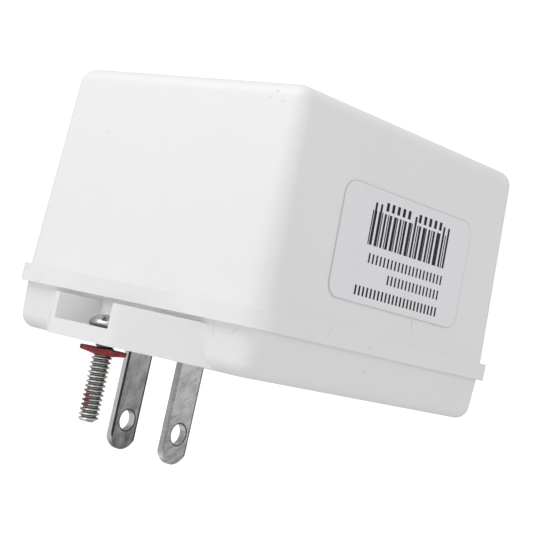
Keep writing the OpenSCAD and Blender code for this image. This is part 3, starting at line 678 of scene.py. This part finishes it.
# Mounting screw: zinc-plated 6-32 machine screw with a slotted round head,
# put through the tab from the front. It turns freely there and goes into the
# middle of the outlet. The thread keeps red smears from the washer's driver.
low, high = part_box("mounting_screw")
axis_z = (low.z + high.z) / 2
tip_y = high.y
head_r = (high.z - low.z) / 2
head_top = low.y
seat = head_top + 0.0023
pitch = 0.000794
crest = 0.00175
root = 0.00127
cut_at = 1.493 * pitch
bpy.ops.object.select_all(action="DESELECT")
bpy.ops.mesh.primitive_plane_add(size=0.001, location=(0, 0, 0))
thread = bpy.context.object
bpy.ops.object.mode_set(mode="EDIT")
bpy.ops.mesh.select_all(action="SELECT")
bpy.ops.mesh.merge(type="CENTER")
bpy.ops.transform.translate(value=(root, 0, 0))
for out, along in (
    (0, 0.1), (0.82, 0.24), (0.13, 0.07), (0.05, 0.05), (0, 0.04),
    (-0.05, 0.05), (-0.13, 0.07), (-0.82, 0.24), (0, 0.14),
):
    bpy.ops.mesh.extrude_region_move(
        TRANSFORM_OT_translate={"value": (out * (crest - root), 0, along * pitch)})
bpy.ops.object.mode_set(mode="OBJECT")
wind = thread.modifiers.new("turns", "SCREW")
wind.axis = "Z"
wind.angle = 2 * math.pi
wind.screw_offset = pitch
wind.iterations = 18
wind.steps = 40
wind.render_steps = 40
wind.use_merge_vertices = True
wind.merge_threshold = 0.000001
bpy.ops.object.modifier_apply(modifier="turns")
bpy.ops.object.mode_set(mode="EDIT")
bpy.ops.mesh.select_all(action="SELECT")
bpy.ops.mesh.remove_doubles(threshold=0.000001)
bpy.ops.mesh.bisect(
    plane_co=(0, 0, cut_at), plane_no=(0, 0, 1), use_fill=True, clear_inner=True,
    threshold=0.0000001)
bpy.ops.mesh.extrude_region_move(TRANSFORM_OT_translate={"value": (0, 0, -0.0004)})
bpy.ops.transform.resize(value=(0.74, 0.74, 1), center_override=(0, 0, 0))
bpy.ops.mesh.select_all(action="SELECT")
bpy.ops.mesh.bisect(
    plane_co=(0, 0, cut_at - 0.0004 + tip_y - 0.0001), plane_no=(0, 0, 1),
    use_fill=True, clear_outer=True, threshold=0.0000001)
bpy.ops.mesh.select_all(action="SELECT")
bpy.ops.mesh.normals_make_consistent(inside=False)
bpy.ops.transform.translate(value=(0, 0, -tip_y - cut_at + 0.0004))
bpy.ops.transform.rotate(value=math.radians(108), orient_axis="Z", center_override=(0, 0, 0))
bpy.ops.object.mode_set(mode="OBJECT")

bpy.ops.mesh.primitive_cylinder_add(
    vertices=48, radius=0.0015, depth=-seat + 0.0003, location=(0, 0, -seat / 2))
neck = bpy.context.object
bpy.ops.mesh.primitive_circle_add(
    vertices=64, radius=0.93 * head_r, fill_type="NGON", location=(0, 0, 0))
head = bpy.context.object
bpy.ops.object.mode_set(mode="EDIT")
bpy.ops.mesh.select_all(action="SELECT")
bpy.ops.transform.translate(value=(0, 0, -seat))
for rise, spread in (
    (0.0002, 1.053), (0.00022, 1.021), (0.00024, 0.991), (0.00026, 0.974), (0.00026, 0.949),
    (0.00025, 0.918), (0.00025, 0.883), (0.00024, 0.82), (0.00018, 0.738), (0.00012, 0.613),
    (0.00007, 0.42),
):
    bpy.ops.mesh.extrude_region_move(TRANSFORM_OT_translate={"value": (0, 0, rise)})
    bpy.ops.transform.resize(value=(spread, spread, 1), center_override=(0, 0, 0))
bpy.ops.mesh.select_all(action="SELECT")
bpy.ops.mesh.normals_make_consistent(inside=False)
bpy.ops.object.mode_set(mode="OBJECT")
bpy.ops.mesh.primitive_cube_add(size=1, location=(0, 0, -head_top))
cutter = bpy.context.object
cutter.scale = (0.0011, 0.009, 0.0023)
cutter.rotation_euler = (0, 0, math.radians(29))
slot_cut = head.modifiers.new("slot", "BOOLEAN")
slot_cut.operation = "DIFFERENCE"
slot_cut.solver = "EXACT"
slot_cut.object = cutter
bpy.ops.object.select_all(action="DESELECT")
head.select_set(True)
bpy.context.view_layer.objects.active = head
bpy.ops.object.modifier_apply(modifier="slot")
soft = head.modifiers.new("soft_edges", "BEVEL")
soft.width = 0.00009
soft.segments = 2
soft.limit_method = "ANGLE"
soft.angle_limit = math.radians(40)
bpy.ops.object.modifier_apply(modifier="soft_edges")
bpy.data.objects.remove(cutter)
bpy.ops.object.select_all(action="DESELECT")
for part in (thread, neck, head):
    part.select_set(True)
bpy.context.view_layer.objects.active = head
bpy.ops.object.join()
screw = bpy.context.object
screw.name = "threaded_mounting_screw"
bpy.ops.object.shade_smooth_by_angle(angle=math.radians(38))
screw.rotation_euler = (-math.pi / 2, 0, math.pi)
screw.location = (0, 0, axis_z)
bpy.ops.object.transform_apply(location=True, rotation=True, scale=True)

zinc = bpy.data.materials.new("zinc_mounting_screw")
zinc.use_nodes = True
tree = zinc.node_tree
surface = tree.nodes["Principled BSDF"]
surface.inputs["Metallic"].default_value = 1
place = tree.nodes.new("ShaderNodeTexCoord")
worn = tree.nodes.new("ShaderNodeTexNoise")
worn.inputs["Scale"].default_value = 1500
worn.inputs["Detail"].default_value = 6
worn.inputs["Roughness"].default_value = 0.65
tint = tree.nodes.new("ShaderNodeMix")
tint.data_type = "RGBA"
tint.inputs[6].default_value = (0.35, 0.36, 0.34, 1)
tint.inputs[7].default_value = (0.90, 0.91, 0.88, 1)
centre = tree.nodes.new("ShaderNodeVectorMath")
centre.operation = "SUBTRACT"
centre.inputs[1].default_value = (0, 0, axis_z)
flatten = tree.nodes.new("ShaderNodeVectorMath")
flatten.operation = "MULTIPLY"
flatten.inputs[1].default_value = (1, 0, 1)
radius = tree.nodes.new("ShaderNodeVectorMath")
radius.operation = "LENGTH"
# Painted shade: along the thread the colour goes dark grey towards the roots, fully below 1.4 mm from the
# axis
deep = tree.nodes.new("ShaderNodeMapRange")
deep.inputs["From Min"].default_value = 0.00160
deep.inputs["From Max"].default_value = 0.00140
painted_groove_shade = tree.nodes.new("ShaderNodeMix")
painted_groove_shade.data_type = "RGBA"
painted_groove_shade.inputs[7].default_value = (0.18, 0.187, 0.175, 1)
on_thread = tree.nodes.new("ShaderNodeMath")
on_thread.operation = "COMPARE"
on_thread.inputs[1].default_value = tip_y / 2
on_thread.inputs[2].default_value = tip_y / 2 - 0.0005
groove_shade_amount = tree.nodes.new("ShaderNodeMath")
groove_shade_amount.operation = "MULTIPLY"
dull = tree.nodes.new("ShaderNodeMapRange")
dull.inputs["To Min"].default_value = 0.12
dull.inputs["To Max"].default_value = 0.34
nicks = tree.nodes.new("ShaderNodeBump")
nicks.inputs["Strength"].default_value = 0.6
nicks.inputs["Distance"].default_value = 0.00008
smear_fit = tree.nodes.new("ShaderNodeMapping")
smear_fit.vector_type = "TEXTURE"
smear_fit.inputs["Location"].default_value = (0.0008, 0.0101, axis_z + 0.0016)
smear_fit.inputs["Scale"].default_value = (0.0011, 0.0019, 0.0010)
smear = tree.nodes.new("ShaderNodeGroup")
smear.node_tree = mark
broken = tree.nodes.new("ShaderNodeTexNoise")
broken.inputs["Scale"].default_value = 700
broken.inputs["Detail"].default_value = 2
flecks = tree.nodes.new("ShaderNodeMapRange")
flecks.inputs["From Min"].default_value = 0.36
flecks.inputs["From Max"].default_value = 0.44
high_up = tree.nodes.new("ShaderNodeMapRange")
high_up.inputs["From Min"].default_value = 0.00152
high_up.inputs["From Max"].default_value = 0.00162
on_crest = tree.nodes.new("ShaderNodeMath")
on_crest.operation = "MULTIPLY"
both = tree.nodes.new("ShaderNodeMath")
both.operation = "MULTIPLY"
red = tree.nodes.new("ShaderNodeMix")
red.data_type = "RGBA"
red.inputs[7].default_value = (0.22, 0.020, 0.034, 1)
height = tree.nodes.new("ShaderNodeSeparateXYZ")
# Painted shadow: from the head's lower rim down through the tab to the washer, the screw is painted near
# black
shadow_band = tree.nodes.new("ShaderNodeMath")
shadow_band.operation = "COMPARE"
shadow_band.inputs[1].default_value = -0.0015
shadow_band.inputs[2].default_value = 0.0019
# Painted shade: the head is painted 42% of the way to near black, dimming its reflections
on_head = tree.nodes.new("ShaderNodeMath")
on_head.operation = "LESS_THAN"
on_head.inputs[1].default_value = -0.0034
film = tree.nodes.new("ShaderNodeMath")
film.operation = "MULTIPLY"
film.inputs[1].default_value = 0.42
painted_screw_shade = tree.nodes.new("ShaderNodeMath")
painted_screw_shade.operation = "MULTIPLY_ADD"
painted_screw_shade.inputs[1].default_value = 0.85
shaded = tree.nodes.new("ShaderNodeMix")
shaded.data_type = "RGBA"
shaded.inputs[7].default_value = (0.035, 0.035, 0.033, 1)
tree.links.new(place.outputs["Object"], worn.inputs["Vector"])
tree.links.new(worn.outputs["Fac"], tint.inputs[0])
tree.links.new(place.outputs["Object"], centre.inputs[0])
tree.links.new(centre.outputs["Vector"], flatten.inputs[0])
tree.links.new(flatten.outputs["Vector"], radius.inputs[0])
tree.links.new(radius.outputs["Value"], deep.inputs["Value"])
tree.links.new(place.outputs["Object"], height.inputs["Vector"])
tree.links.new(height.outputs["Y"], on_thread.inputs[0])
tree.links.new(deep.outputs["Result"], groove_shade_amount.inputs[0])
tree.links.new(on_thread.outputs["Value"], groove_shade_amount.inputs[1])
tree.links.new(groove_shade_amount.outputs["Value"], painted_groove_shade.inputs[0])
tree.links.new(tint.outputs[2], painted_groove_shade.inputs[6])
tree.links.new(place.outputs["Object"], smear_fit.inputs["Vector"])
tree.links.new(smear_fit.outputs["Vector"], smear.inputs["Vector"])
tree.links.new(place.outputs["Object"], broken.inputs["Vector"])
tree.links.new(broken.outputs["Fac"], flecks.inputs["Value"])
tree.links.new(radius.outputs["Value"], high_up.inputs["Value"])
tree.links.new(high_up.outputs["Result"], on_crest.inputs[0])
tree.links.new(flecks.outputs["Result"], on_crest.inputs[1])
tree.links.new(smear.outputs["Mask"], both.inputs[0])
tree.links.new(on_crest.outputs["Value"], both.inputs[1])
tree.links.new(both.outputs["Value"], red.inputs[0])
tree.links.new(painted_groove_shade.outputs[2], red.inputs[6])
tree.links.new(height.outputs["Y"], shadow_band.inputs[0])
tree.links.new(shadow_band.outputs["Value"], painted_screw_shade.inputs[0])
tree.links.new(height.outputs["Y"], on_head.inputs[0])
tree.links.new(on_head.outputs["Value"], film.inputs[0])
tree.links.new(film.outputs["Value"], painted_screw_shade.inputs[2])
tree.links.new(painted_screw_shade.outputs["Value"], shaded.inputs[0])
tree.links.new(red.outputs[2], shaded.inputs[6])
tree.links.new(shaded.outputs[2], surface.inputs["Base Color"])
tree.links.new(worn.outputs["Fac"], dull.inputs["Value"])
tree.links.new(dull.outputs["Result"], surface.inputs["Roughness"])
tree.links.new(worn.outputs["Fac"], nicks.inputs["Height"])
tree.links.new(nicks.outputs["Normal"], surface.inputs["Normal"])
screw.data.materials.clear()
screw.data.materials.append(zinc)
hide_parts("mounting_screw")
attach(screw, "screw")

# Fibre washer: red vulcanised fibre, pushed over the thread so that the screw
# can't fall out of the tab. The push dished it and left its edge uneven.
washer = nodes["fibre_washer"]
bpy.ops.object.select_all(action="DESELECT")
washer.select_set(True)
bpy.context.view_layer.objects.active = washer
bpy.ops.mesh.customdata_custom_splitnormals_clear()
bpy.ops.object.shade_smooth()
weld = washer.modifiers.new("weld", "WELD")
weld.merge_threshold = 0.000002
soft = washer.modifiers.new("soft_edges", "BEVEL")
soft.width = 0.00018
soft.segments = 3
soft.limit_method = "ANGLE"
soft.angle_limit = math.radians(35)
soft.harden_normals = True
fibre = bpy.data.materials.new("red_fibre")
fibre.use_nodes = True
tree = fibre.node_tree
surface = tree.nodes["Principled BSDF"]
surface.inputs["Roughness"].default_value = 0.55
place = tree.nodes.new("ShaderNodeTexCoord")
strands = tree.nodes.new("ShaderNodeTexNoise")
strands.inputs["Scale"].default_value = 900
strands.inputs["Detail"].default_value = 5
strands.inputs["Distortion"].default_value = 1.2
patchy = tree.nodes.new("ShaderNodeMapRange")
patchy.inputs["From Min"].default_value = 0.36
patchy.inputs["From Max"].default_value = 0.64
tint = tree.nodes.new("ShaderNodeMix")
tint.data_type = "RGBA"
tint.inputs[6].default_value = (0.055, 0.003, 0.005, 1)
tint.inputs[7].default_value = (0.46, 0.024, 0.034, 1)
rough = tree.nodes.new("ShaderNodeBump")
rough.inputs["Strength"].default_value = 0.5
rough.inputs["Distance"].default_value = 0.00015
tree.links.new(place.outputs["Object"], strands.inputs["Vector"])
tree.links.new(strands.outputs["Fac"], patchy.inputs["Value"])
tree.links.new(patchy.outputs["Result"], tint.inputs[0])
tree.links.new(tint.outputs[2], surface.inputs["Base Color"])
tree.links.new(strands.outputs["Fac"], rough.inputs["Height"])
tree.links.new(rough.outputs["Normal"], surface.inputs["Normal"])
washer.data.materials.clear()
washer.data.materials.append(fibre)

# Label: glossy white paper sticker on the long side, put on upside down. Its
# print is plain: a field of crossed sets of bars, longer at its ends, a row of
# dashes over it and three under it. Dirt and painted shadow darken the cut edge.
label = nodes["label"]
low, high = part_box("label")
paper = bpy.data.materials.new("printed_label")
paper.use_nodes = True
tree = paper.node_tree
surface = tree.nodes["Principled BSDF"]
surface.inputs["Roughness"].default_value = 0.34
surface.inputs["Specular IOR Level"].default_value = 0.3
place = tree.nodes.new("ShaderNodeTexCoord")
from_corner = tree.nodes.new("ShaderNodeVectorMath")
from_corner.operation = "SUBTRACT"
from_corner.inputs[1].default_value = (0, low.y, low.z)
axes = tree.nodes.new("ShaderNodeSeparateXYZ")
tone = tree.nodes.new("ShaderNodeTexNoise")
tone.inputs["Scale"].default_value = 240
tone.inputs["Detail"].default_value = 5
tint = tree.nodes.new("ShaderNodeMix")
tint.data_type = "RGBA"
tint.inputs[6].default_value = (0.835, 0.84, 0.87, 1)
tint.inputs[7].default_value = (0.88, 0.885, 0.91, 1)
tree.links.new(place.outputs["Object"], from_corner.inputs[0])
tree.links.new(from_corner.outputs["Vector"], axes.inputs["Vector"])
tree.links.new(place.outputs["Object"], tone.inputs["Vector"])
tree.links.new(tone.outputs["Fac"], tint.inputs[0])
colour = tint.outputs[2]
for z0, z1, y0, y1, step, share in (
    (0.0072, 0.03216, 0.0039, 0.0099, 0.00156, 0.40),
    (0.0072, 0.03216, 0.0039, 0.0099, 0.00093, 0.34),
    (0.0072, 0.0095, 0.0025, 0.0039, 0.00156, 0.40),
    (0.01812, 0.0190, 0.0025, 0.0039, 0.00156, 0.40),
    (0.02904, 0.03216, 0.0025, 0.0039, 0.00156, 0.40),
    (0.0100, 0.0178, 0.0019, 0.0034, 0.0017, 0.5),
    (0.0203, 0.0284, 0.0019, 0.0034, 0.0017, 0.5),
    (0.0071, 0.03090, 0.0113, 0.0130, 0.00115, 0.42),
    (0.0074, 0.02460, 0.0141, 0.0158, 0.00115, 0.42),
    (0.0071, 0.03350, 0.0172, 0.0189, 0.00115, 0.46),
):
    across = tree.nodes.new("ShaderNodeMath")
    across.operation = "COMPARE"
    across.inputs[1].default_value = (z0 + z1) / 2
    across.inputs[2].default_value = (z1 - z0) / 2
    upright = tree.nodes.new("ShaderNodeMath")
    upright.operation = "COMPARE"
    upright.inputs[1].default_value = (y0 + y1) / 2
    upright.inputs[2].default_value = (y1 - y0) / 2
    count = tree.nodes.new("ShaderNodeMath")
    count.operation = "MULTIPLY_ADD"
    count.inputs[1].default_value = 1 / step
    count.inputs[2].default_value = -z0 / step
    part_of = tree.nodes.new("ShaderNodeMath")
    part_of.operation = "FRACT"
    ink = tree.nodes.new("ShaderNodeMath")
    ink.operation = "LESS_THAN"
    ink.inputs[1].default_value = share
    box = tree.nodes.new("ShaderNodeMath")
    box.operation = "MULTIPLY"
    field = tree.nodes.new("ShaderNodeMath")
    field.operation = "MULTIPLY"
    printed = tree.nodes.new("ShaderNodeMix")
    printed.data_type = "RGBA"
    printed.inputs[7].default_value = (0.010, 0.009, 0.015, 1)
    tree.links.new(axes.outputs["Z"], across.inputs[0])
    tree.links.new(axes.outputs["Y"], upright.inputs[0])
    tree.links.new(axes.outputs["Z"], count.inputs[0])
    tree.links.new(count.outputs["Value"], part_of.inputs[0])
    tree.links.new(part_of.outputs["Value"], ink.inputs[0])
    tree.links.new(across.outputs["Value"], box.inputs[0])
    tree.links.new(upright.outputs["Value"], box.inputs[1])
    tree.links.new(box.outputs["Value"], field.inputs[0])
    tree.links.new(ink.outputs["Value"], field.inputs[1])
    tree.links.new(field.outputs["Value"], printed.inputs[0])
    tree.links.new(colour, printed.inputs[6])
    colour = printed.outputs[2]
# Dirt and painted shadow: a thin dark line round the cut edge
from_middle = tree.nodes.new("ShaderNodeVectorMath")
from_middle.operation = "SUBTRACT"
from_middle.inputs[1].default_value = (0, (low.y + high.y) / 2, (low.z + high.z) / 2)
folded = tree.nodes.new("ShaderNodeVectorMath")
folded.operation = "ABSOLUTE"
past = tree.nodes.new("ShaderNodeVectorMath")
past.operation = "SUBTRACT"
past.inputs[1].default_value = (1, (high.y - low.y) / 2 - 0.0028, (high.z - low.z) / 2 - 0.0028)
outside = tree.nodes.new("ShaderNodeVectorMath")
outside.operation = "MAXIMUM"
outside.inputs[1].default_value = (0, 0, 0)
from_arc = tree.nodes.new("ShaderNodeVectorMath")
from_arc.operation = "LENGTH"
rim_dirt_and_shadow = tree.nodes.new("ShaderNodeMapRange")
rim_dirt_and_shadow.inputs["From Min"].default_value = 0.00262
rim_dirt_and_shadow.inputs["From Max"].default_value = 0.00270
rim_dirt_and_shadow.inputs["To Max"].default_value = 0.42
rim = tree.nodes.new("ShaderNodeMix")
rim.data_type = "RGBA"
rim.inputs[7].default_value = (0.30, 0.29, 0.29, 1)
tree.links.new(place.outputs["Object"], from_middle.inputs[0])
tree.links.new(from_middle.outputs["Vector"], folded.inputs[0])
tree.links.new(folded.outputs["Vector"], past.inputs[0])
tree.links.new(past.outputs["Vector"], outside.inputs[0])
tree.links.new(outside.outputs["Vector"], from_arc.inputs[0])
tree.links.new(from_arc.outputs["Value"], rim_dirt_and_shadow.inputs["Value"])
tree.links.new(rim_dirt_and_shadow.outputs["Result"], rim.inputs[0])
tree.links.new(colour, rim.inputs[6])
tree.links.new(rim.outputs[2], surface.inputs["Base Color"])
wave = tree.nodes.new("ShaderNodeBump")
wave.inputs["Strength"].default_value = 0.25
wave.inputs["Distance"].default_value = 0.0002
tree.links.new(tone.outputs["Fac"], wave.inputs["Height"])
tree.links.new(wave.outputs["Normal"], surface.inputs["Normal"])
label.data.materials.clear()
label.data.materials.append(paper)

# Floor: a plain pale studio floor well below the part.
bpy.ops.object.select_all(action="DESELECT")
bpy.ops.mesh.primitive_plane_add(size=6, location=(0, 0, -0.3))
floor = bpy.context.object
floor.name = "studio_floor"
ground = bpy.data.materials.new("pale_floor")
ground.use_nodes = True
tree = ground.node_tree
tree.nodes.remove(tree.nodes["Principled BSDF"])
matt = tree.nodes.new("ShaderNodeBsdfDiffuse")
speckle = tree.nodes.new("ShaderNodeTexNoise")
speckle.inputs["Scale"].default_value = 8
tint = tree.nodes.new("ShaderNodeMix")
tint.data_type = "RGBA"
tint.inputs[6].default_value = (0.93, 0.93, 0.93, 1)
tint.inputs[7].default_value = (0.95, 0.95, 0.95, 1)
path = tree.nodes.new("ShaderNodeLightPath")
lift = tree.nodes.new("ShaderNodeMath")
lift.operation = "MULTIPLY"
lift.inputs[1].default_value = 0.45
# Painted reflection: seen in the metal parts, the floor's colour is pulled 42% towards near black
in_metal = tree.nodes.new("ShaderNodeMath")
in_metal.operation = "MULTIPLY"
in_metal.inputs[1].default_value = 0.42
dim = tree.nodes.new("ShaderNodeMix")
dim.data_type = "RGBA"
dim.inputs[7].default_value = (0.05, 0.05, 0.05, 1)
glow = tree.nodes.new("ShaderNodeEmission")
total = tree.nodes.new("ShaderNodeAddShader")
tree.links.new(speckle.outputs["Fac"], tint.inputs[0])
tree.links.new(path.outputs["Is Glossy Ray"], in_metal.inputs[0])
tree.links.new(in_metal.outputs["Value"], dim.inputs[0])
tree.links.new(tint.outputs[2], dim.inputs[6])
tree.links.new(dim.outputs[2], matt.inputs["Color"])
tree.links.new(path.outputs["Is Camera Ray"], lift.inputs[0])
tree.links.new(lift.outputs["Value"], glow.inputs["Strength"])
tree.links.new(matt.outputs["BSDF"], total.inputs[0])
tree.links.new(glow.outputs["Emission"], total.inputs[1])
tree.links.new(total.outputs["Shader"], tree.nodes["Material Output"].inputs["Surface"])
floor.data.materials.append(ground)

# Light: a pale surround, a broad soft lamp above the tab end and two weak ones
# from the outlet side and towards the label, as in a product photograph.
world = bpy.data.worlds.new("pale_surround")
bpy.context.scene.world = world
world.use_nodes = True
tree = world.node_tree
shell = tree.nodes["Background"]
path = tree.nodes.new("ShaderNodeLightPath")
seen = tree.nodes.new("ShaderNodeMath")
seen.operation = "ADD"
seen.use_clamp = True
seen_too = tree.nodes.new("ShaderNodeMath")
seen_too.operation = "ADD"
seen_too.use_clamp = True
strength = tree.nodes.new("ShaderNodeMapRange")
strength.inputs["To Min"].default_value = 0.58
strength.inputs["To Max"].default_value = 1
shell.inputs["Color"].default_value = (1, 1, 1, 1)
tree.links.new(path.outputs["Is Camera Ray"], seen.inputs[0])
tree.links.new(path.outputs["Is Glossy Ray"], seen.inputs[1])
tree.links.new(seen.outputs["Value"], seen_too.inputs[0])
tree.links.new(path.outputs["Is Transmission Ray"], seen_too.inputs[1])
tree.links.new(seen_too.outputs["Value"], strength.inputs["Value"])
tree.links.new(strength.outputs["Result"], shell.inputs["Strength"])
middle = Vector((0, -0.0155, -0.0236))
for name, towards, away, level, size in (
    ("key_lamp", (0.15, -0.75, 0.67), 0.45, 0.46, 0.35),
    ("fill_lamp", (-0.10, 0.55, 0.83), 0.8, 0.125, 0.5),
    ("side_lamp", (-0.92, -0.2, -0.15), 0.8, 0.145, 0.5),
):
    direction = Vector(towards).normalized()
    lamp = bpy.data.objects.new(name, bpy.data.lights.new(name, "AREA"))
    lamp.data.size = size
    lamp.data.energy = level * (math.pi * away) ** 2
    lamp.location = middle + direction * away
    lamp.rotation_euler = direction.to_track_quat("Z", "Y").to_euler()
    bpy.context.scene.collection.objects.link(lamp)

# Camera: where the photograph was taken from, with the same angle of view.
camera = bpy.data.objects.new("camera", bpy.data.cameras.new("camera"))
bpy.context.scene.collection.objects.link(camera)
bpy.context.scene.camera = camera
camera.data.lens = 102.73
camera.data.sensor_width = 36
camera.data.clip_start = 0.01
camera.data.clip_end = 20
camera.matrix_world = Matrix((
    (-0.75400, 0.13246, -0.64338, -0.18361),
    (-0.21433, -0.97546, 0.05035, -0.00594),
    (-0.62092, 0.17586, 0.76389, 0.19619),
    (0, 0, 0, 1),
))

bpy.context.scene.view_settings.view_transform = "Standard"
